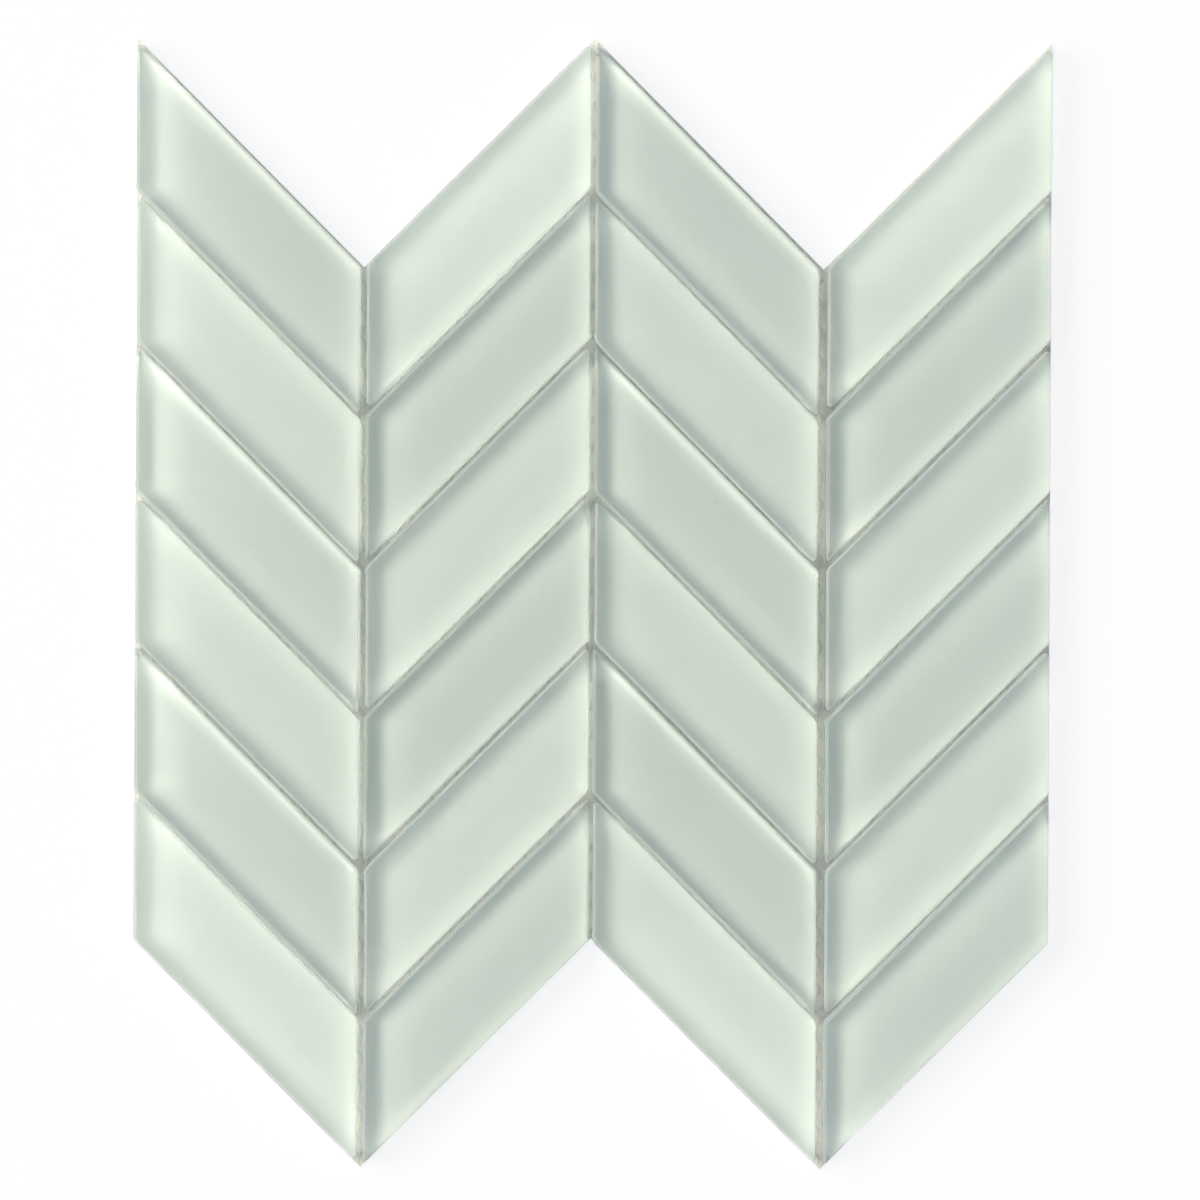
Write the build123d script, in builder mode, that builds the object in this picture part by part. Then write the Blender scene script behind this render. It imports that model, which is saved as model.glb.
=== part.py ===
from build123d import *
import os
import random
from math import atan, cos, degrees, hypot, radians, tan

# Sheet of painted glass wall tile. Slanted glass chips stand in upright columns
# and meet as chevrons, all stuck by their backs to one sheet of adhesive-filled mesh.
# Polished chips with a ground bevel take turns with satin chips that have rounder corners.
# The sheet lies face up: X runs across the columns, Y up the wall, Z out of the wall.
# The origin is the centre of the back of the mesh.

# Driving sizes, mm and degrees
columns = 4
rows = 6
chip_width = 61.0       # across a column, from one upright side to the other
chip_side = 39.4        # length of each upright side
chip_slope = 45.0       # angle of the slanted sides to the level
glass_thickness = 8.0
mesh_thickness = 0.6
upright_joint = 1.8     # open gap between two columns
slanted_joint = 1.25    # open gap between two chips of a column, square to the sides
bare_strip = 0.9        # mesh left bare above the first chips of every second column
laying_play = 0.12      # how far off its place a chip is laid
column_play = 0.6       # how far an inner column strays sideways
laying_seed = 395       # one sheet's own pattern of small laying errors
polished_bevel = 0.7    # ground bevel round the face of a polished chip
polished_tip = 0.3      # radius of the face inside the bevel at its two sharp tips
polished_blunt = 0.8    # and at its two blunt corners
satin_bevel = 0.4       # slighter bevel of a satin chip
satin_tip = 1.0         # radius of its face at the two sharp tips
satin_blunt = 2.6       # and at the two blunt corners

# Places that follow from the sizes
column_pitch = chip_width + upright_joint
slope_rise = tan(radians(chip_slope))
slope_length = 1 / cos(radians(chip_slope))
column_rise = column_pitch * slope_rise
chip_rise = chip_width * slope_rise
joint_drop = slanted_joint * slope_length
bare_drop = bare_strip * slope_length
column_height = rows * chip_side + (rows - 1) * joint_drop
sheet_height = column_height + column_rise
chip_reach = hypot(chip_width, chip_side + chip_rise) / 2
turn_play = degrees(atan(laying_play / chip_reach))
mesh_margin = 2 * laying_play
half_width = (columns * column_pitch - upright_joint) / 2 + mesh_margin

# Columns start falling to the right, and every second one rises to the right instead
falls_right = [column % 2 == 0 for column in range(columns)]
column_lefts = [(column - columns / 2) * column_pitch for column in range(columns)]


def ridge_fall(x):
    # How far the zigzag lies below its peaks at a place across the sheet.
    # A peak stands wherever a falling column begins.
    first_peak = column_lefts[0]
    across = (x - first_peak) % (2 * column_pitch)
    return min(across, 2 * column_pitch - across) * slope_rise


def zigzag(peak_height):
    # Corner points of one zigzag edge of the mesh, left to right.
    inner = column_lefts[1:]
    places = [-half_width] + inner + [half_width]
    return [(x, peak_height - ridge_fall(x)) for x in places]


# The mesh, cut to a zigzag above and below so that the next sheet's points fit in
upper_edge = zigzag(sheet_height / 2 + mesh_margin * slope_length)
lower_edge = zigzag(sheet_height / 2 - column_height - mesh_margin * slope_length)
with BuildPart() as mesh_backing:
    with BuildSketch():
        with BuildLine():
            Polyline(*upper_edge, *reversed(lower_edge), close=True)
        make_face()
    extrude(amount=mesh_thickness)
mesh_backing.part.label = "mesh_backing"

os.makedirs("parts", exist_ok=True)
export_step(mesh_backing.part, "parts/mesh_backing.step")

# Inner columns stray a little, and the outer two keep to the ends of the mesh
random.seed(laying_seed)
inner_strays = [random.uniform(-column_play, column_play) for column in range(columns - 2)]
column_strays = [0, *inner_strays, 0]

# The glass chips, column by column from the left and from the top down
for column in range(columns):
    column_letter = chr(ord("a") + column)
    column_middle = column_lefts[column] + column_pitch / 2
    lean = -chip_rise if falls_right[column] else chip_rise

    # Falling columns are laid closer, which leaves the bare strip above them
    top_gap = bare_drop if falls_right[column] else 0
    row_pitch = chip_side + joint_drop - top_gap / max(rows - 1, 1)
    first_top = sheet_height / 2 - ridge_fall(column_middle) - top_gap

    for row in range(rows):
        if (column + row) % 2 == 0:
            bevel, tip, blunt = polished_bevel, polished_tip, polished_blunt
        else:
            bevel, tip, blunt = satin_bevel, satin_tip, satin_blunt
        chip_x = column_middle + column_strays[column] + random.uniform(-laying_play, laying_play)
        chip_top = first_top - row * row_pitch
        chip_y = chip_top - chip_side / 2 + random.uniform(-laying_play, laying_play)
        chip_turn = random.uniform(-turn_play, turn_play)
        chip_place = Plane(origin=(chip_x, chip_y, mesh_thickness)).rotated((0, 0, chip_turn))

        with BuildPart() as glass_chip:
            with BuildSketch(chip_place) as outline:
                with BuildLine():
                    Polyline(
                        (-chip_width / 2, -lean / 2 - chip_side / 2),
                        (chip_width / 2, lean / 2 - chip_side / 2),
                        (chip_width / 2, lean / 2 + chip_side / 2),
                        (-chip_width / 2, -lean / 2 + chip_side / 2),
                        close=True,
                    )
                make_face()
                fillet(outline.vertices().sort_by_distance((0, 0))[2:], radius=tip + bevel)
                fillet(outline.vertices().sort_by_distance((0, 0))[:2], radius=blunt + bevel)
            extrude(amount=glass_thickness)
            chamfer(glass_chip.faces().sort_by(Axis.Z)[-1].edges(), length=bevel)
        glass_chip.part.label = f"glass_chip_{column_letter}{row + 1}"
        export_step(glass_chip.part, f"parts/{glass_chip.part.label}.step")
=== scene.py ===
import math
import random

import bmesh
import bpy
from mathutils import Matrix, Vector, noise
from mathutils.geometry import convex_hull_2d, intersect_line_line_2d


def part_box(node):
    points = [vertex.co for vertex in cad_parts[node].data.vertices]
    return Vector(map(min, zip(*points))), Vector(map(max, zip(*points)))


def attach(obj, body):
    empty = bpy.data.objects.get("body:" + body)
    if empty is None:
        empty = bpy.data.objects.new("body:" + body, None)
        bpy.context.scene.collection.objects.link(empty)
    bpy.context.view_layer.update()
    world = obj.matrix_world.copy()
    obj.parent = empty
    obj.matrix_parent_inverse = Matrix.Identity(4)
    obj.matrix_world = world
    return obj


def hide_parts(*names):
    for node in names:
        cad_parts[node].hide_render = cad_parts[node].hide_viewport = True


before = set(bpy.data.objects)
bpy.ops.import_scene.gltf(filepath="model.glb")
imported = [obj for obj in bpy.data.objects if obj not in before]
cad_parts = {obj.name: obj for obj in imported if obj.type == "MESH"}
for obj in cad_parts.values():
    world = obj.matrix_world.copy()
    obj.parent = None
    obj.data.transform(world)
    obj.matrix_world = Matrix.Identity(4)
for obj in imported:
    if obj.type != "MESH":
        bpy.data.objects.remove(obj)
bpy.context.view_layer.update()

mm = 0.001
chipNodes = sorted(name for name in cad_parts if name.startswith("glass_chip_"))


# Small helpers that every piece shares
def linear(hexColour):
    values = [int(hexColour[i:i + 2], 16) / 255 for i in (1, 3, 5)]
    return [v / 12.92 if v <= 0.04045 else ((v + 0.055) / 1.055) ** 2.4 for v in values] + [1.0]


def newMaterial(name):
    material = bpy.data.materials.new(name)
    material.use_nodes = True
    material.node_tree.nodes.clear()
    return material, material.node_tree


def addNode(tree, kind, inputs=None, **settings):
    # An input takes a value, an output, or a whole node, which stands for its first output in use
    node = tree.nodes.new(kind)
    for key, value in settings.items():
        setattr(node, key, value)
    for key, value in (inputs or {}).items():
        if isinstance(value, bpy.types.Node):
            value = next(output for output in value.outputs if output.enabled)
        if isinstance(value, bpy.types.NodeSocket):
            tree.links.new(value, node.inputs[key])
        else:
            node.inputs[key].default_value = value
    return node


def newObject(name, mesh):
    obj = bpy.data.objects.new(name, mesh)
    bpy.context.scene.collection.objects.link(obj)
    return obj


def closedMesh(name, points, faces):
    mesh = bpy.data.meshes.new(name)
    mesh.from_pydata(points, [], faces)
    mesh.validate()
    bm = bmesh.new()
    bm.from_mesh(mesh)
    bmesh.ops.recalc_face_normals(bm, faces=bm.faces)
    bm.to_mesh(mesh)
    bm.free()
    return mesh


# The chips: clear pressed glass, 8 mm thick, in two kinds that take turns down each column
chipSettings = {
    "pointStep": 0.5 * mm,         # spacing of the points round a chip's outline
    "cornerSteps": 10,
    "cornerSpread": (0.85, 1.2),   # least and most of a corner's radius, as a share of its kind's own
    "leastRadius": 0.05 * mm,
    "backBevel": 0.20 * mm,        # tiny broken edge at the painted back
    "holdLoop": 0.10 * mm,         # loops close to a bend keep the flat glass beside it flat
    "faceLoop": 0.06 * mm,
    "bevelAngle": 45,
    "arrisSteps": 5,
    "rimSteps": 8,
    "polished": {                  # sharp corners, a narrow ground bevel and nearly straight edges
        "tip": 0.5 * mm, "blunt": 1.5 * mm, "bevel": 0.66 * mm, "outerArris": 0.22 * mm,
        "innerArris": 0.14 * mm, "waver": 0.018 * mm, "nicks": 5, "nickDepth": 0.04 * mm,
        "mostIn": 0.03 * mm, "tipFrost": 3.2 * mm,
    },
    "satin": {                     # rounder corners, a round rim and more worn edges
        "tip": 1.0 * mm, "blunt": 3.0 * mm, "rim": 0.95 * mm, "waver": 0.045 * mm,
        "nicks": 14, "nickDepth": 0.12 * mm, "mostIn": 0.15 * mm, "tipFrost": 0,
    },
    "ripple": 2.2 * mm,            # the edges waver in short ripples and in longer sways
    "sway": 14 * mm,
    "swayShare": 1.5,
    "rimDepth": 1.4 * mm,          # nicks fade out this far below the face
    "nickWidthMm": (0.4, 1.1),     # least and most
    "nickShare": (0.3, 1),         # least and most of the kind's depth
    "nibChance": 0.6,              # spurs of glass, left beside a blunt corner where it was nipped
    "nibAt": 0.414,                # a spur stands where a corner's rounding ends, this share of its radius on
    "nibHeight": 0.30 * mm,
    "nibShare": (0.4, 1.2),
    "nibWidth": 0.55 * mm,
    "topReach": 0.48 * mm,         # a falling column's top chip stands this far out over the bare strip
    "lowerReach": 0.25 * mm,       # each chip's lower side stands this far out into the joint below it
    "seed": 11,
}

# Soda-lime glass, clear with a breath of green, in the finishes that its making leaves: roughness, size
# and depth of the waves in mm, and how much light goes through
glassFinishes = {
    "fire_polished_face": (0.0, 25, 0.006, 1.0),    # melted smooth: a clear mirror, faintly wavy
    "satin_etched_face": (0.52, 0.8, 0.004, 1.0),   # acid-etched: a soft sheen and no mirror image
    "ground_bevel": (0.10, 1.5, 0.012, 0.95),       # ground on a wheel and all but polished
    "nibbled_arris": (0.45, 0.6, 0.03, 0.6),        # fine chips where two faces meet: a pale line
    "satin_rim": (0.48, 0.9, 0.05, 0.93),           # etched round edge: frosty and uneven
    "moulded_side": (0.52, 1.2, 0.04, 1.0),         # as it left the mould: frosted, lets light in softly
    "smooth_side": (0.03, 8, 0.006, 1.0),           # mould wall that stayed shiny: turns light back inside
}
# Which finish covers which part of a chip
chipFinishes = {
    "polished": {
        "face": "fire_polished_face", "rim": "ground_bevel", "arris": "nibbled_arris", "tip": "satin_rim",
        "side": "moulded_side", "upperRightSide": "smooth_side",
    },
    "satin": {
        "face": "satin_etched_face", "rim": "satin_rim", "side": "moulded_side",
        "upperRightSide": "moulded_side",
    },
}


def glassMaterial(name):
    roughness, waveMm, depthMm, clear = glassFinishes[name]
    material, tree = newMaterial(name)
    position = addNode(tree, "ShaderNodeTexCoord").outputs["Object"]
    waves = addNode(tree, "ShaderNodeTexNoise", {
        "Vector": position, "Scale": 1 / (waveMm * mm), "Detail": 3.0, "Roughness": 0.6})
    bump = addNode(tree, "ShaderNodeBump", {
        "Height": waves.outputs["Fac"], "Strength": 1.0, "Distance": depthMm * mm})
    glass = addNode(tree, "ShaderNodeBsdfPrincipled", {
        "Base Color": linear("#FBFEFC"), "Roughness": roughness, "IOR": 1.52, "Transmission Weight": clear,
        "Normal": bump})
    addNode(tree, "ShaderNodeOutputMaterial", {"Surface": glass})
    return material


# Sage glass enamel fired on the back: matt and even, each chip a shade off the next, with dark
# grains of dust here and there
enamelSettings = {
    "glazeLift": 0.13 * mm,        # the painted back lies this far above the mesh
    "overlap": 0.03 * mm,          # paint and glass share this much, so no gap shows between them
    "footInset": 0.06 * mm,        # the paint's edge stands back a little, and more at its foot
    "edgeInset": 0.02 * mm,
    "footHeight": 0.05 * mm,
    "sidePoints": 12,
    "cornerSteps": 8,
    "light": "#E0E6E1",
    "dark": "#DAE0DB",
    "tint": 0.375,                 # 0 is dark and 1 is light, before the clouds lighten it
    "tintSpread": 0.35,            # how far one chip's paint is from the next
    "cloudSize": 22 * mm,
    "cloudShare": 0.25,
    "speck": "#7C8479",
    "speckCell": 7 * mm,           # at most one grain in a cell this wide
    "speckEdge": (0.012, 0.026),   # a grain fades out between these shares of a cell from its middle
    "speckFree": 0.6,              # share of the cells without a grain
    "margin": "#E9EEE9",           # painted highlight: lighter paint along a polished chip's smooth side, standing in for the bright streak light makes there
    "paintedStreakWidth": 1.2 * mm,
    "paintedStreakFade": 1.0 * mm,
}


def enamelMaterial():
    e = enamelSettings
    material, tree = newMaterial("sage_enamel")
    position = addNode(tree, "ShaderNodeTexCoord").outputs["Object"]
    shade = addNode(tree, "ShaderNodeAttribute", attribute_name="shade").outputs["Fac"]
    cloud = addNode(tree, "ShaderNodeTexNoise", {
        "Vector": position, "Scale": 1 / e["cloudSize"], "Detail": 2.0, "Roughness": 0.5})
    clouded = addNode(tree, "ShaderNodeMath", {0: cloud.outputs["Fac"], 1: e["cloudShare"], 2: shade},
                      operation="MULTIPLY_ADD")
    tone = addNode(tree, "ShaderNodeMix", {
        "Factor": clouded, "A": linear(e["dark"]), "B": linear(e["light"])}, data_type="RGBA")
    # Painted highlight: a lighter strip along a polished chip's smooth side, standing in for the bright
    # streak that light makes there
    margin = addNode(tree, "ShaderNodeAttribute", attribute_name="margin").outputs["Fac"]
    withPaintedStreak = addNode(tree, "ShaderNodeMix", {"Factor": margin, "A": tone, "B": linear(e["margin"])},
                    data_type="RGBA")
    cells = addNode(tree, "ShaderNodeTexVoronoi", {"Vector": position, "Scale": 1 / e["speckCell"]})
    chosen = addNode(tree, "ShaderNodeSeparateColor", {"Color": cells.outputs["Color"]})
    dusty = addNode(tree, "ShaderNodeMath", {0: chosen.outputs["Red"], 1: e["speckFree"]},
                    operation="GREATER_THAN")
    near = addNode(tree, "ShaderNodeMapRange", {
        "Value": cells.outputs["Distance"], "From Min": e["speckEdge"][0], "From Max": e["speckEdge"][1],
        "To Min": 1.0, "To Max": 0.0})
    grain = addNode(tree, "ShaderNodeMath", {0: near, 1: dusty}, operation="MULTIPLY")
    specked = addNode(tree, "ShaderNodeMix", {"Factor": grain, "A": withPaintedStreak, "B": linear(e["speck"])},
                      data_type="RGBA")
    paint = addNode(tree, "ShaderNodeBsdfPrincipled", {
        "Base Color": specked, "Roughness": 0.8, "Specular IOR Level": 0.0})
    addNode(tree, "ShaderNodeOutputMaterial", {"Surface": paint})
    return material


def chipKind(nodeName):
    column, row = "abcd".index(nodeName[-2]), int(nodeName[-1]) - 1
    return "polished" if (column + row) % 2 == 0 else "satin"


def chipCorners(nodeName):
    # The four sharp corners that the CAD chip's long straight sides would meet at, anticlockwise
    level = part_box(nodeName)[0].z + 0.01 * mm   # only the back face lies below this
    points = [v.co.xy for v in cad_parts[nodeName].data.vertices if v.co.z < level]
    hull = [points[i] for i in convex_hull_2d(points)]
    sides = [(hull[i - 1], hull[i]) for i in range(len(hull))]
    longest = sorted(sorted(sides, key=lambda side: (side[1] - side[0]).length)[-4:], key=sides.index)
    corners = []
    for i in range(4):
        a, b = longest[i - 1], longest[i]
        ahead = 9 * a[1] - 8 * a[0]
        behind = 9 * b[0] - 8 * b[1]
        corners.append(Vector(intersect_line_line_2d(2 * a[0] - a[1], ahead, behind, 2 * b[1] - b[0])))
    area = sum(corners[i - 1].cross(corners[i]) for i in range(4))
    corners = corners if area > 0 else corners[::-1]

    # A slanted side that reaches out moves straight up or down, so the upright sides keep their places
    for i in range(4):
        along = corners[(i + 1) % 4] - corners[i]
        outwards = Vector((along.y, -along.x)).normalized()
        reach = 0
        if outwards.y > 0.1 and nodeName[-2:] in ("a1", "c1"):
            reach = chipSettings["topReach"]
        if outwards.y < -0.1 and nodeName[-1] != "6":
            reach = chipSettings["lowerReach"]
        if reach:
            move = Vector((0, reach / outwards.y))
            corners[i], corners[(i + 1) % 4] = corners[i] + move, corners[(i + 1) % 4] + move
    return corners


def outline(corners, inset, radii, pointCounts, cornerSteps):
    # Points of the outline moved inwards, each with its outward direction
    moved = []
    for i in range(4):
        before = (corners[i] - corners[i - 1]).normalized()
        after = (corners[(i + 1) % 4] - corners[i]).normalized()
        inBefore, inAfter = Vector((-before.y, before.x)), Vector((-after.y, after.x))
        moved.append(corners[i] + (inBefore + inAfter) / (1 + inBefore.dot(inAfter)) * inset)
    arcs = []
    for i in range(4):
        before = (moved[i] - moved[i - 1]).normalized()
        after = (moved[(i + 1) % 4] - moved[i]).normalized()
        turn = before.angle(after)
        radius = max(radii[i] - inset, chipSettings["leastRadius"])
        reach = radius * math.tan(turn / 2)
        start = moved[i] - before * reach
        centre = start + Vector((-before.y, before.x)) * radius
        x, y = before.y, -before.x
        arc = []
        for k in range(cornerSteps + 1):
            sin, cos = math.sin(turn * k / cornerSteps), math.cos(turn * k / cornerSteps)
            way = Vector((x * cos - y * sin, x * sin + y * cos))
            arc.append((centre + way * radius, way))
        arcs.append(arc)
    loop = []
    for i in range(4):
        loop += arcs[i]
        start, end = arcs[i][-1], arcs[(i + 1) % 4][0]
        for k in range(1, pointCounts[i]):
            loop.append((start[0].lerp(end[0], k / pointCounts[i]), start[1]))
    return loop


def rimProfile(kind, back, top):
    # (inset, height, zone) from the painted back up the side and over the rim to the face.
    # A point's zone is that of the strip below it.
    c, s = chipSettings, chipSettings[kind]
    hold, broken, tilt = c["holdLoop"], c["backBevel"], c["bevelAngle"]
    profile = [(broken, back, "side"), (0, back + broken, "side"), (0, back + broken + hold, "side")]
    if kind == "polished":
        bevel, outer, inner = s["bevel"], s["outerArris"], s["innerArris"]
        slack = math.tan(math.radians(tilt / 2))   # what rounding an arris takes off, in radii
        start = top - bevel - outer * slack
        profile.append((0, start - hold, "side"))
        for k in range(c["arrisSteps"] + 1):
            a = math.radians(tilt * k / c["arrisSteps"])
            inset = outer - outer * math.cos(a)
            profile.append((inset, start + outer * math.sin(a), "arris" if k else "side"))
        for k in range(c["arrisSteps"] + 1):
            a = math.radians(tilt + tilt * k / c["arrisSteps"])
            inset = bevel + inner * slack - inner * math.cos(a)
            profile.append((inset, top - inner + inner * math.sin(a), "arris" if k else "rim"))
    else:
        rim = s["rim"]
        profile.append((0, top - rim - hold, "side"))
        for k in range(c["rimSteps"] + 1):
            a = math.radians(90 * k / c["rimSteps"])
            inset = rim - rim * math.cos(a)
            profile.append((inset, top - rim + rim * math.sin(a), "rim" if k else "side"))
    profile.append((profile[-1][0] + c["faceLoop"], top, "face"))
    return profile


def buildChip(nodeName, rng):
    kind = chipKind(nodeName)
    c, s = chipSettings, chipSettings[kind]
    corners = chipCorners(nodeName)
    low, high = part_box(nodeName)
    back, top = low.z + enamelSettings["glazeLift"], high.z

    radii, counts, sharp = [], [], []
    for i in range(4):
        before, after = corners[i - 1] - corners[i], corners[(i + 1) % 4] - corners[i]
        sharp.append(before.angle(after) < math.radians(90))
        radii.append((s["tip"] if sharp[i] else s["blunt"]) * rng.uniform(*c["cornerSpread"]))
        counts.append(round(after.length / c["pointStep"]))
    base = outline(corners, 0, radii, counts, c["cornerSteps"])
    way = [0.0]
    for p, q in zip(base, base[1:]):
        way.append(way[-1] + (q[0] - p[0]).length)
    length = way[-1] + (base[0][0] - base[-1][0]).length

    # The bevel is left frosted round a polished chip's sharp tips, where the wheel can't follow it
    tips = [corner for corner, isSharp in zip(corners, sharp) if isSharp]
    atTip = [any((p[0] - tip).length < s["tipFrost"] for tip in tips) for p in base]

    # Nicks along the rim, and a spur where a blunt corner was nipped
    nicks = []
    for i in range(s["nicks"]):
        centre, width = rng.uniform(0, length), rng.uniform(*c["nickWidthMm"]) * mm
        nicks.append((centre, width, rng.uniform(*c["nickShare"]) * s["nickDepth"]))
    nibs = []
    for i in range(4):
        if not sharp[i] and rng.random() < c["nibChance"]:
            reach = radii[i] * c["nibAt"]
            for p, d in zip(base, way):
                upright = abs(p[1].x) > 0.9
                if upright and reach < (p[0] - corners[i]).length < reach + c["pointStep"] * 1.1:
                    nibs.append((d, c["nibHeight"] * rng.uniform(*c["nibShare"])))
                    break

    # How far apart two places are, the short way round the outline
    def along(d, centre):
        return abs((d - centre + length / 2) % length - length / 2)

    drift = Vector((rng.uniform(0, 9), rng.uniform(0, 9), 0))
    points, rings = [], []
    profile = rimProfile(kind, back, top)
    for inset, z, zone in profile:
        ring = outline(corners, inset, radii, counts, c["cornerSteps"])
        lift = max(0.0, 1 - (top - z) / c["rimDepth"])
        row = []
        for (place, outwards), d in zip(ring, way):
            x, y = place
            waver = noise.noise(Vector((x, y, z * 0.5)) / c["ripple"] + drift) * s["waver"]
            waver += noise.noise(Vector((x, y, z)) / c["sway"] + drift) * s["waver"] * c["swayShare"]
            bite = sum(depth * math.exp(-(along(d, centre) / width) ** 2) for centre, width, depth in nicks)
            spur = sum(height * math.exp(-(along(d, centre) / c["nibWidth"]) ** 2) for centre, height in nibs)
            out = max(waver - bite * lift, -s["mostIn"]) + spur
            row.append(len(points))
            points.append((x + outwards.x * out, y + outwards.y * out, z))
        rings.append(row)

    faces, zones = [], []
    for lower, upper, (inset, z, zone) in zip(rings, rings[1:], profile[1:]):
        for i in range(len(lower)):
            faces.append((lower[i - 1], lower[i], upper[i], upper[i - 1]))
            zones.append("tip" if atTip[i] and zone in ("rim", "arris") else zone)
    faces += [tuple(reversed(rings[0])), tuple(rings[-1])]
    zones += ["side", "face"]
    mesh = closedMesh(nodeName.replace("glass_chip_", "glass_"), points, faces)
    slots = list(chipFinishes[kind])
    for slot in slots:
        mesh.materials.append(glass[chipFinishes[kind][slot]])
    for face, zone in zip(mesh.polygons, zones):
        face.use_smooth = True
        if zone == "side" and min(face.normal.x, face.normal.y) > 0.1:
            zone = "upperRightSide"
        face.material_index = slots.index(zone)
    return newObject(mesh.name, mesh), corners, radii, back


def buildEnamel(nodeName, corners, radii, back, tint):
    # Rings from the mesh up the edge of the paint and inwards, over the painted highlight strip to the even
    # part
    e = enamelSettings
    low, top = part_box(nodeName)[0].z, back + e["overlap"]
    width, fade = e["paintedStreakWidth"], e["paintedStreakFade"]
    rings = [(e["footInset"], low, 1), (e["edgeInset"], low + e["footHeight"], 1), (e["edgeInset"], top, 1),
             (width, top, 1), (width + fade / 2, top, 0.5), (width + fade, top, 0)]
    # Only the polished chips of the falling columns get the painted highlight strip
    hasPaintedStreak = chipKind(nodeName) == "polished" and nodeName[-2] in "ac"
    counts = [e["sidePoints"]] * 4
    points, faces, paintedStreakShares = [], [], []
    for inset, z, strength in rings:
        for p, way in outline(corners, chipSettings["backBevel"] + inset, radii, counts, e["cornerSteps"]):
            points.append((p.x, p.y, z))
            paintedStreakShares.append(strength if hasPaintedStreak and min(way.x, way.y) > 0.1 else 0)
    count = len(points) // len(rings)
    for level in range(len(rings) - 1):
        a, b = level * count, (level + 1) * count
        faces += [(a + (i - 1) % count, a + i, b + i, b + (i - 1) % count) for i in range(count)]
    faces.append(tuple(reversed(range(count))))
    faces.append(tuple(range(len(points) - count, len(points))))
    mesh = closedMesh(nodeName.replace("glass_chip_", "enamel_"), points, faces)
    for name, values in (("shade", [tint] * len(points)), ("margin", paintedStreakShares)):
        mesh.attributes.new(name, "FLOAT", "POINT").data.foreach_set("value", values)
    return newObject(mesh.name, mesh)


glass = {name: glassMaterial(name) for name in glassFinishes}
enamel = enamelMaterial()
rng = random.Random(chipSettings["seed"])
for nodeName in chipNodes:
    chip, corners, radii, back = buildChip(nodeName, rng)
    tint = enamelSettings["tint"] + rng.uniform(-0.5, 0.5) * enamelSettings["tintSpread"]
    paint = buildEnamel(nodeName, corners, radii, back, tint)
    paint.data.materials.append(enamel)
    for piece in (chip, paint):
        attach(piece, "root")
        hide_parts(nodeName)
print("chips built:", len(chipNodes))

# The backing: a warp-knit net drowned in dried adhesive
netSettings = {
    "waleSpacing": 3.2 * mm,       # one zigzag yarn from the next
    "course": 7.8 * mm,            # height of one row of cells
    "swing": 0.95 * mm,            # how far a yarn swings to each side
    "hold": 1.5,                   # above 1, it stays out beside a cell and then crosses quickly
    "yarnWidth": 0.30 * mm,
    "yarnHeight": 0.20 * mm,
    "wander": 0.30 * mm,           # a yarn strays half of this to each side at most
    "wanderSize": 9 * mm,
    "seed": 3.0,
    "front": {"sunk": 0.02 * mm, "step": 0.45 * mm, "sides": 8},   # its middle lies this far in the film
    "back": {"sunk": 0.06 * mm, "step": 1.0 * mm, "sides": 4},
    "coverInset": 0.9 * mm,        # the front net runs this far in under a chip
    "yarnLight": "#DDDCD3",
    "yarnDark": "#D2D1C8",
    "yarnBlotch": 4 * mm,
    "fibreSize": 0.35 * mm,
    "fibreRelief": 0.06 * mm,
}
filmSettings = {
    "cellWidth": 3.6 * mm,         # sunk oval of adhesive in one cell
    "cellHeight": 5.7 * mm,
    "cellEdge": (0.80, 1.12),      # where it rises to the ridge, as shares of the oval's radius
    "cellStray": 0.9 * mm,         # how far the ovals are pushed out of line
    "straySize": 9 * mm,
    "cell": "#D3D2CB",
    "ridge": "#C4C4BD",
    # painted light: paler film along the zigzag top, lifting the shade the chips cast there
    "paintedLightStrip": "#DAD9D1",
    "stripDepth": (4 * mm, 3 * mm),   # the strip begins and is whole this far below the film's top
    "columnPitch": 62.8 * mm,      # the top's zigzag turns at each column
    "dirtSize": 7 * mm,
    "dirtRange": (0.35, 0.75),
    "dirtShade": 0.90,             # the dirtiest blotches keep this share of their light
    "grainSize": 0.5 * mm,
    "grainShare": 0.25,
    "relief": 0.12 * mm,
}


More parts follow.
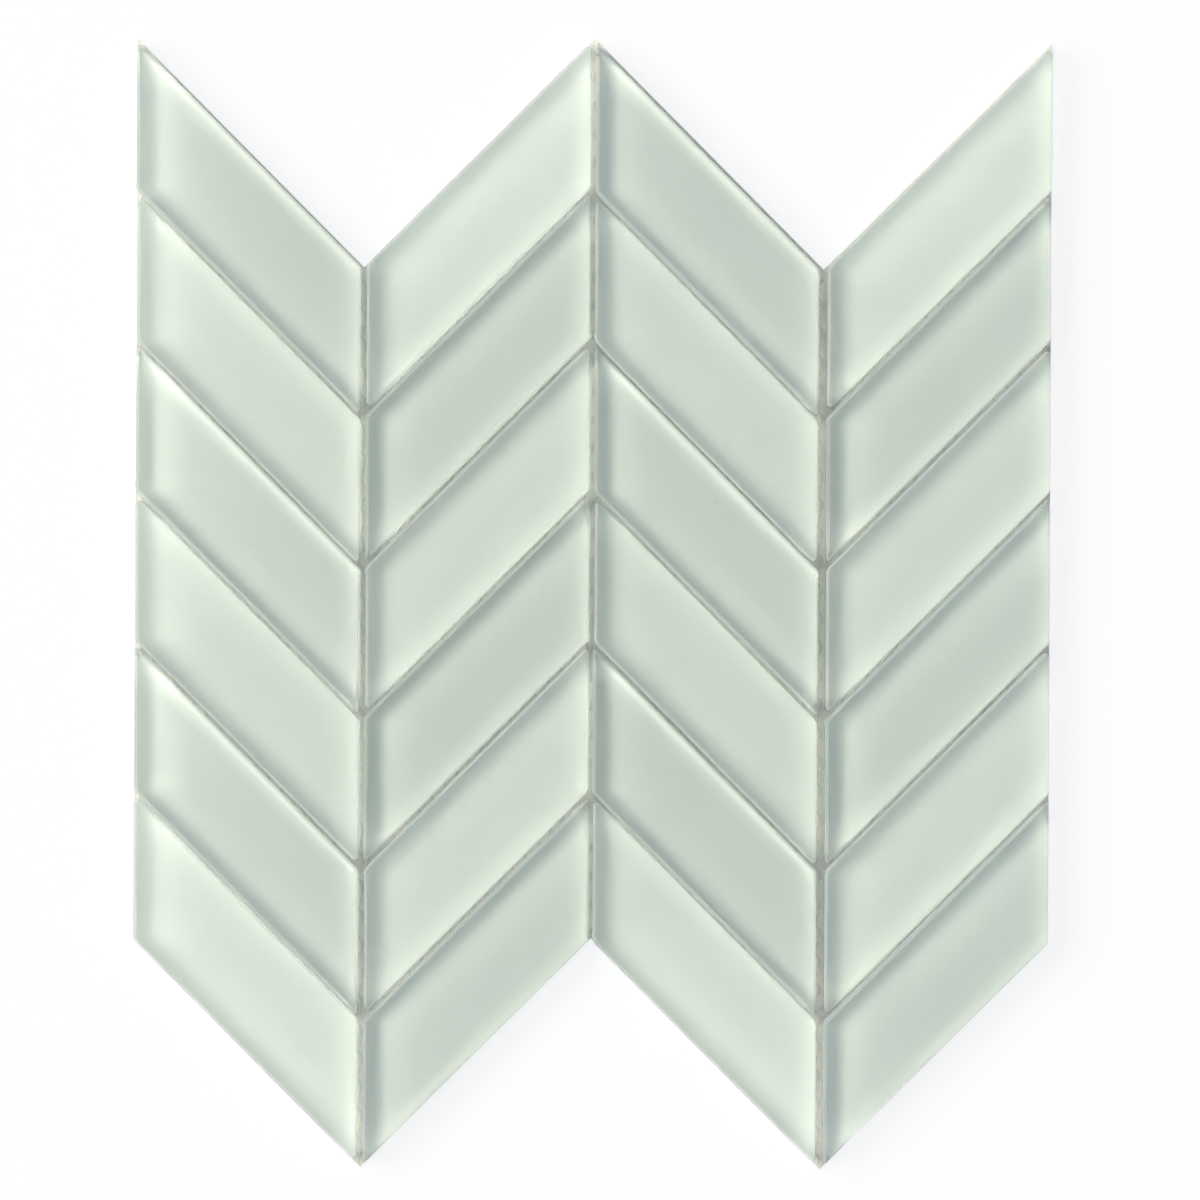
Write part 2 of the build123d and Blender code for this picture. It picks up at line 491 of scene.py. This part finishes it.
def filmMaterial():
    # Dried acrylic adhesive over glass yarn: cream and matt, greyer on the ridges, sunk inside each cell
    f, n = filmSettings, netSettings
    material, tree = newMaterial("dried_adhesive")
    position = addNode(tree, "ShaderNodeTexCoord").outputs["Object"]
    stray = addNode(tree, "ShaderNodeTexNoise", {
        "Vector": position, "Scale": 1 / f["straySize"], "Detail": 1.0})
    pushed = addNode(tree, "ShaderNodeVectorMath", {
        0: stray.outputs["Color"], 1: (f["cellStray"], f["cellStray"], 0), 2: position},
        operation="MULTIPLY_ADD")

    # Ovals in the net's cells, each row half a cell off the next
    halfTile = (n["waleSpacing"], n["course"] / 2, 1)
    ovals = []
    for shift in ((0, 0, 0), halfTile):
        moved = addNode(tree, "ShaderNodeVectorMath", {0: pushed, 1: shift}, operation="ADD")
        wrapped = addNode(tree, "ShaderNodeVectorMath", {0: moved, 1: halfTile, 2: [-v for v in halfTile]},
                          operation="WRAP")
        scaled = addNode(tree, "ShaderNodeVectorMath", {
            0: wrapped, 1: (2 / f["cellWidth"], 2 / f["cellHeight"], 0)}, operation="MULTIPLY")
        ovals.append(addNode(tree, "ShaderNodeVectorMath", {0: scaled}, operation="LENGTH"))
    nearest = addNode(tree, "ShaderNodeMath", {0: ovals[0], 1: ovals[1]}, operation="MINIMUM")
    ridge = addNode(tree, "ShaderNodeMapRange", {
        "Value": nearest, "From Min": f["cellEdge"][0], "From Max": f["cellEdge"][1],
        "To Min": 0.0, "To Max": 1.0}, interpolation_type="SMOOTHSTEP")
    tone = addNode(tree, "ShaderNodeMix", {"Factor": ridge, "A": linear(f["cell"]), "B": linear(f["ridge"])},
                   data_type="RGBA")
    blotch = addNode(tree, "ShaderNodeTexNoise", {
        "Vector": position, "Scale": 1 / f["dirtSize"], "Detail": 6.0, "Roughness": 0.75})
    dirt = addNode(tree, "ShaderNodeMapRange", {
        "Value": blotch.outputs["Fac"], "From Min": f["dirtRange"][0], "From Max": f["dirtRange"][1],
        "To Min": 1.0, "To Max": f["dirtShade"]})
    toned = addNode(tree, "ShaderNodeMix", {"Factor": 1.0, "A": tone, "B": dirt}, data_type="RGBA",
                    blend_type="MULTIPLY")

    # Along the zigzag top the film is painted paler: painted light that lifts the shade the chips cast on the
    # bare strip
    low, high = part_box("mesh_backing")
    place = addNode(tree, "ShaderNodeSeparateXYZ", {"Vector": position})
    across = addNode(tree, "ShaderNodeMath", {0: place.outputs["X"], 1: low.x}, operation="SUBTRACT")
    fall = addNode(tree, "ShaderNodeMath", {0: across, 1: f["columnPitch"]}, operation="PINGPONG")
    levelled = addNode(tree, "ShaderNodeMath", {0: place.outputs["Y"], 1: fall}, operation="ADD")
    paintedLightMask = addNode(tree, "ShaderNodeMapRange", {
        "Value": levelled, "From Min": high.y - f["stripDepth"][0], "From Max": high.y - f["stripDepth"][1]})
    colour = addNode(tree, "ShaderNodeMix", {"Factor": paintedLightMask, "A": toned, "B": linear(f["paintedLightStrip"])},
                     data_type="RGBA")
    grain = addNode(tree, "ShaderNodeTexNoise", {
        "Vector": position, "Scale": 1 / f["grainSize"], "Detail": 3.0, "Roughness": 0.7})
    height = addNode(tree, "ShaderNodeMath", {0: grain.outputs["Fac"], 1: f["grainShare"], 2: ridge},
                     operation="MULTIPLY_ADD")
    bump = addNode(tree, "ShaderNodeBump", {"Height": height, "Strength": 1.0, "Distance": f["relief"]})
    shader = addNode(tree, "ShaderNodeBsdfPrincipled", {
        "Base Color": colour, "Normal": bump, "Roughness": 0.62, "Specular IOR Level": 0.4})
    addNode(tree, "ShaderNodeOutputMaterial", {"Surface": shader})
    return material


def yarnMaterial():
    # Fibreglass yarn under a skin of adhesive: a little paler and smoother than the film
    n = netSettings
    material, tree = newMaterial("coated_yarn")
    position = addNode(tree, "ShaderNodeTexCoord").outputs["Object"]
    blotch = addNode(tree, "ShaderNodeTexNoise", {
        "Vector": position, "Scale": 1 / n["yarnBlotch"], "Detail": 3.0, "Roughness": 0.6})
    tone = addNode(tree, "ShaderNodeMix", {
        "Factor": blotch.outputs["Fac"], "A": linear(n["yarnLight"]), "B": linear(n["yarnDark"])},
        data_type="RGBA")
    fibre = addNode(tree, "ShaderNodeTexNoise", {
        "Vector": position, "Scale": 1 / n["fibreSize"], "Detail": 2.0, "Roughness": 0.6})
    bump = addNode(tree, "ShaderNodeBump", {
        "Height": fibre.outputs["Fac"], "Strength": 0.8, "Distance": n["fibreRelief"]})
    shader = addNode(tree, "ShaderNodeBsdfPrincipled", {
        "Base Color": tone, "Normal": bump, "Roughness": 0.5, "Specular IOR Level": 0.45})
    addNode(tree, "ShaderNodeOutputMaterial", {"Surface": shader})
    return material


def netTree():
    # Wales of yarn side by side, each swinging to and fro, cut to the film and left out under the chips
    tree = bpy.data.node_groups.new("warpKnitNet", "GeometryNodeTree")
    sockets = {
        "NodeSocketGeometry": ["Geometry"],
        "NodeSocketFloat": ["Width", "Height", "Wale Spacing", "Course", "Swing", "Hold", "Yarn Width",
                            "Yarn Height", "Wander", "Wander Size", "Level", "Step", "Seed"],
        "NodeSocketInt": ["Sides"],
        "NodeSocketObject": ["Film", "Covered"],
        "NodeSocketMaterial": ["Yarn"],
    }
    for kind, names in sockets.items():
        for name in names:
            tree.interface.new_socket(name, in_out="INPUT", socket_type=kind)
    tree.interface.new_socket("Geometry", in_out="OUTPUT", socket_type="NodeSocketGeometry")
    given = addNode(tree, "NodeGroupInput").outputs

    # One straight wale, then one at every spacing, starting half a spacing off the middle
    halfWidth = addNode(tree, "ShaderNodeMath", {0: given["Width"], 1: 0.5}, operation="MULTIPLY")
    fitting = addNode(tree, "ShaderNodeMath", {0: halfWidth, 1: given["Wale Spacing"]}, operation="DIVIDE")
    pairs = addNode(tree, "ShaderNodeMath", {0: fitting}, operation="CEIL")
    waleCount = addNode(tree, "ShaderNodeMath", {0: pairs, 1: 2}, operation="MULTIPLY")
    firstWale = addNode(tree, "ShaderNodeMath", {0: 0.5, 1: pairs}, operation="SUBTRACT")
    firstX = addNode(tree, "ShaderNodeMath", {0: firstWale, 1: given["Wale Spacing"]}, operation="MULTIPLY")
    starts = addNode(tree, "GeometryNodeMeshLine", {
        "Count": waleCount, "Start Location": addNode(tree, "ShaderNodeCombineXYZ", {"X": firstX}),
        "Offset": addNode(tree, "ShaderNodeCombineXYZ", {"X": given["Wale Spacing"]})})
    number = addNode(tree, "ShaderNodeMath", {0: addNode(tree, "GeometryNodeInputIndex"), 1: pairs},
                     operation="ADD")
    parity = addNode(tree, "ShaderNodeMath", {0: number, 1: 2}, operation="MODULO")
    swingSide = addNode(tree, "ShaderNodeMath", {0: parity, 1: -2, 2: 1}, operation="MULTIPLY_ADD")
    marked = addNode(tree, "GeometryNodeStoreNamedAttribute", {
        "Geometry": starts, "Name": "swingSide", "Value": swingSide}, data_type="FLOAT", domain="POINT")
    bottom = addNode(tree, "ShaderNodeMath", {0: given["Height"], 1: -0.5}, operation="MULTIPLY")
    steps = addNode(tree, "ShaderNodeMath", {0: given["Height"], 1: given["Step"]}, operation="DIVIDE")
    wale = addNode(tree, "GeometryNodeMeshLine", {
        "Count": addNode(tree, "ShaderNodeMath", {0: steps}, operation="CEIL"),
        "Start Location": addNode(tree, "ShaderNodeCombineXYZ", {"Y": bottom}),
        "Offset": addNode(tree, "ShaderNodeCombineXYZ", {"Y": given["Step"]})})
    wales = addNode(tree, "GeometryNodeInstanceOnPoints", {"Points": marked, "Instance": wale})
    laid = addNode(tree, "GeometryNodeRealizeInstances", {"Geometry": wales})

    # The swing: held out beside a cell, then crossing quickly to the other side
    position = addNode(tree, "GeometryNodeInputPosition")
    height = addNode(tree, "ShaderNodeSeparateXYZ", {"Vector": position}).outputs["Y"]
    side = addNode(tree, "GeometryNodeInputNamedAttribute", {"Name": "swingSide"}, data_type="FLOAT")
    turns = addNode(tree, "ShaderNodeMath", {0: height, 1: 2 * math.pi}, operation="MULTIPLY")
    angle = addNode(tree, "ShaderNodeMath", {0: turns, 1: given["Course"]}, operation="DIVIDE")
    wave = addNode(tree, "ShaderNodeMath", {0: angle}, operation="COSINE")
    steep = addNode(tree, "ShaderNodeMath", {0: wave, 1: given["Hold"]}, operation="MULTIPLY")
    held = addNode(tree, "ShaderNodeClamp", {"Value": steep, "Min": -1.0, "Max": 1.0})
    sided = addNode(tree, "ShaderNodeMath", {0: held, 1: side}, operation="MULTIPLY")
    swung = addNode(tree, "ShaderNodeMath", {0: sided, 1: given["Swing"]}, operation="MULTIPLY")

    # And a little wander, so no two cells are alike
    lifted = addNode(tree, "ShaderNodeCombineXYZ", {"Z": given["Seed"]})
    seeded = addNode(tree, "ShaderNodeVectorMath", {0: position, 1: lifted}, operation="ADD")
    scale = addNode(tree, "ShaderNodeMath", {0: 1, 1: given["Wander Size"]}, operation="DIVIDE")
    stray = addNode(tree, "ShaderNodeTexNoise", {"Vector": seeded, "Scale": scale, "Detail": 2.0})
    centred = addNode(tree, "ShaderNodeVectorMath", {0: stray.outputs["Color"], 1: (0.5, 0.5, 0.5)},
                      operation="SUBTRACT")
    reach = addNode(tree, "ShaderNodeCombineXYZ", {"X": given["Wander"], "Y": given["Wander"]})
    strayed = addNode(tree, "ShaderNodeVectorMath", {0: centred, 1: reach}, operation="MULTIPLY")
    swing = addNode(tree, "ShaderNodeCombineXYZ", {"X": swung, "Z": given["Level"]})
    offset = addNode(tree, "ShaderNodeVectorMath", {0: strayed, 1: swing}, operation="ADD")
    shaped = addNode(tree, "GeometryNodeSetPosition", {"Geometry": laid, "Offset": offset})

    # Cut to the film's outline, and left out wherever a chip covers it
    above = addNode(tree, "ShaderNodeVectorMath", {0: position, 1: (0, 0, 1)}, operation="ADD")
    hits = []
    for name in ("Film", "Covered"):
        target = addNode(tree, "GeometryNodeObjectInfo", {"Object": given[name]}, transform_space="RELATIVE")
        ray = addNode(tree, "GeometryNodeRaycast", {
            "Target Geometry": target.outputs["Geometry"], "Source Position": above,
            "Ray Direction": (0, 0, -1), "Ray Length": 3.0})
        hits.append(ray.outputs["Is Hit"])
    offFilm = addNode(tree, "FunctionNodeBooleanMath", {0: hits[0]}, operation="NOT")
    hidden = addNode(tree, "FunctionNodeBooleanMath", {0: offFilm, 1: hits[1]}, operation="OR")
    kept = addNode(tree, "GeometryNodeDeleteGeometry", {"Geometry": shaped, "Selection": hidden},
                   domain="POINT")

    # Yarn: a flattened tube along every stretch that is left
    lines = addNode(tree, "GeometryNodeMeshToCurve", {"Mesh": kept})
    upright = addNode(tree, "GeometryNodeSetCurveNormal", {"Curve": lines}, mode="Z_UP")
    circle = addNode(tree, "GeometryNodeCurvePrimitiveCircle", {"Resolution": given["Sides"], "Radius": 0.5})
    size = addNode(tree, "ShaderNodeCombineXYZ", {
        "X": given["Yarn Width"], "Y": given["Yarn Height"], "Z": 1.0})
    oval = addNode(tree, "GeometryNodeTransform", {"Geometry": circle, "Scale": size})
    tube = addNode(tree, "GeometryNodeCurveToMesh", {
        "Curve": upright, "Profile Curve": oval, "Fill Caps": True})
    solid = addNode(tree, "GeometryNodeRealizeInstances", {"Geometry": tube})
    dressed = addNode(tree, "GeometryNodeSetMaterial", {"Geometry": solid, "Material": given["Yarn"]})
    addNode(tree, "NodeGroupOutput", {"Geometry": dressed})
    return tree


def growNet(name, tree, values):
    holder = newObject(name + "_maker", bpy.data.meshes.new(name + "_maker"))
    modifier = holder.modifiers.new("net", "NODES")
    modifier.node_group = tree
    for item in tree.interface.items_tree:
        if item.item_type == "SOCKET" and item.in_out == "INPUT" and item.name in values:
            modifier[item.identifier] = values[item.name]
    bpy.context.view_layer.update()
    mesh = bpy.data.meshes.new_from_object(holder.evaluated_get(bpy.context.evaluated_depsgraph_get()))
    holder.modifiers.remove(modifier)
    bpy.data.objects.remove(holder)
    for face in mesh.polygons:
        face.use_smooth = True
    print(name, "triangles", sum(len(face.vertices) - 2 for face in mesh.polygons))
    return newObject(name, mesh)


def coverQuads(name, inset, level):
    # Flat faces that mark where chips hide the net, drawn in from each chip's edge
    points, faces = [], []
    for nodeName in chipNodes:
        loop = outline(chipCorners(nodeName), inset, [0.1 * mm] * 4, [1, 1, 1, 1], 1)
        faces.append(tuple(range(len(points), len(points) + len(loop))))
        points += [(p.x, p.y, level) for p, way in loop]
    mesh = bpy.data.meshes.new(name)
    mesh.from_pydata(points, [], faces)
    return newObject(name, mesh)


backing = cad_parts["mesh_backing"]
film = filmMaterial()
for i in range(len(backing.data.materials)):
    backing.data.materials[i] = film
netGroup = netTree()
backLow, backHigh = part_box("mesh_backing")
cover = coverQuads("covered", netSettings["coverInset"], 0.5)   # half a metre up, below the rays' start
nowhere = newObject("nowhere", bpy.data.meshes.new("nowhere"))
netValues = {
    "Width": backHigh.x - backLow.x, "Height": backHigh.y - backLow.y,
    "Wale Spacing": netSettings["waleSpacing"], "Course": netSettings["course"],
    "Swing": netSettings["swing"], "Hold": netSettings["hold"],
    "Yarn Width": netSettings["yarnWidth"], "Yarn Height": netSettings["yarnHeight"],
    "Wander": netSettings["wander"], "Wander Size": netSettings["wanderSize"], "Seed": netSettings["seed"],
    "Film": backing, "Yarn": yarnMaterial(),
}
front, rear = netSettings["front"], netSettings["back"]
frontNet = growNet("net_front", netGroup, {
    **netValues, "Level": backHigh.z - front["sunk"], "Step": front["step"], "Sides": front["sides"],
    "Covered": cover})
backNet = growNet("net_back", netGroup, {
    **netValues, "Level": backLow.z + rear["sunk"], "Step": rear["step"], "Sides": rear["sides"],
    "Covered": nowhere})
bpy.data.objects.remove(cover)
bpy.data.objects.remove(nowhere)
for piece in (frontNet, backNet):
    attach(piece, "root")
print("net built")

# The studio: pale floor, one large softbox on the left, even pale fill
stageSettings = {
    "floorSize": 4.0,
    "floorDrop": 0.12 * mm,        # clear of the back net's yarns
    "floorColour": "#EEF0F2",
    "glowColour": (0.985, 0.99, 1.0, 1.0),
    "glowShare": 0.85,             # the rest of the card is lit by the lamp and takes the sheet's shadow
    "boxDistance": 6.0,
    "boxElevation": 40,
    "boxTurn": -8,                 # degrees: the softbox stands a little above the sheet's middle
    "boxLength": 6.8,
    "boxHeight": 4.6,
    "boxWatts": 605,
    "boxColour": (1.0, 0.965, 0.82),
    "fillStrength": 0.46,
    "fillColour": (0.77, 0.82, 1.0, 1.0),
    "viewWidth": 328.2 * mm,       # width of the picture at the sheet
    "viewCentre": (2.05 * mm, 0.96 * mm),
    "cameraHeight": 2.4,
    "cameraRoll": 0.28,            # degrees
    "sensorWidth": 36,
}


def buildFloor():
    s = stageSettings
    bm = bmesh.new()
    bmesh.ops.create_grid(bm, x_segments=1, y_segments=1, size=s["floorSize"])
    bmesh.ops.translate(bm, verts=bm.verts, vec=(0, 0, -s["floorDrop"]))
    mesh = bpy.data.meshes.new("floor")
    bm.to_mesh(mesh)
    bm.free()

    # White card: seen straight or through glass it is nearly white, and keeps the sheet's soft shadow
    material, tree = newMaterial("white_card")
    card = addNode(tree, "ShaderNodeBsdfPrincipled", {
        "Base Color": linear(s["floorColour"]), "Roughness": 0.9, "Specular IOR Level": 0.0})
    glow = addNode(tree, "ShaderNodeEmission", {"Color": s["glowColour"], "Strength": 1.0})
    path = addNode(tree, "ShaderNodeLightPath").outputs
    shiny = addNode(tree, "ShaderNodeMath", {0: path["Is Glossy Ray"], 1: path["Is Transmission Ray"]},
                    operation="MAXIMUM")
    looked = addNode(tree, "ShaderNodeMath", {0: path["Is Camera Ray"], 1: shiny}, operation="MAXIMUM")
    seen = addNode(tree, "ShaderNodeMath", {0: looked, 1: s["glowShare"]}, operation="MULTIPLY")
    mixed = addNode(tree, "ShaderNodeMixShader", {0: seen, 1: card, 2: glow})
    addNode(tree, "ShaderNodeOutputMaterial", {"Surface": mixed})
    floor = newObject("floor", mesh)
    floor.data.materials.append(material)


def buildLights():
    s = stageSettings
    lamp = bpy.data.lights.new("softbox", "AREA")
    lamp.shape = "RECTANGLE"
    lamp.size = s["boxLength"]
    lamp.size_y = s["boxHeight"]
    lamp.energy = s["boxWatts"]
    lamp.color = s["boxColour"]
    softbox = newObject("softbox", lamp)
    elevation, turn = math.radians(s["boxElevation"]), math.radians(s["boxTurn"])
    level = math.cos(elevation)
    away = Vector((-level * math.cos(turn), -level * math.sin(turn), math.sin(elevation)))
    softbox.location = away * s["boxDistance"]
    softbox.rotation_euler = (-away).to_track_quat("-Z", "Y").to_euler()
    softbox.visible_camera = False
    world = bpy.data.worlds.new("pale_room")
    bpy.context.scene.world = world
    world.use_nodes = True
    world.node_tree.nodes.clear()
    fill = addNode(world.node_tree, "ShaderNodeBackground", {
        "Color": s["fillColour"], "Strength": s["fillStrength"]})
    addNode(world.node_tree, "ShaderNodeOutputWorld", {"Surface": fill})


def buildCamera():
    s = stageSettings
    camera = bpy.data.cameras.new("camera")
    camera.sensor_width = s["sensorWidth"]
    camera.lens = s["sensorWidth"] * s["cameraHeight"] / s["viewWidth"]
    camera.clip_end = 20
    viewer = newObject("camera", camera)
    viewer.location = (*s["viewCentre"], s["cameraHeight"])
    viewer.rotation_euler = (0, 0, math.radians(s["cameraRoll"]))
    bpy.context.scene.camera = viewer


buildFloor()
buildLights()
buildCamera()
bpy.context.scene.view_settings.view_transform = "Standard"
# Light through clear glass keeps its edges only with Cycles' glossy filter off
bpy.context.scene.cycles.blur_glossy = 0.0
print("studio built")
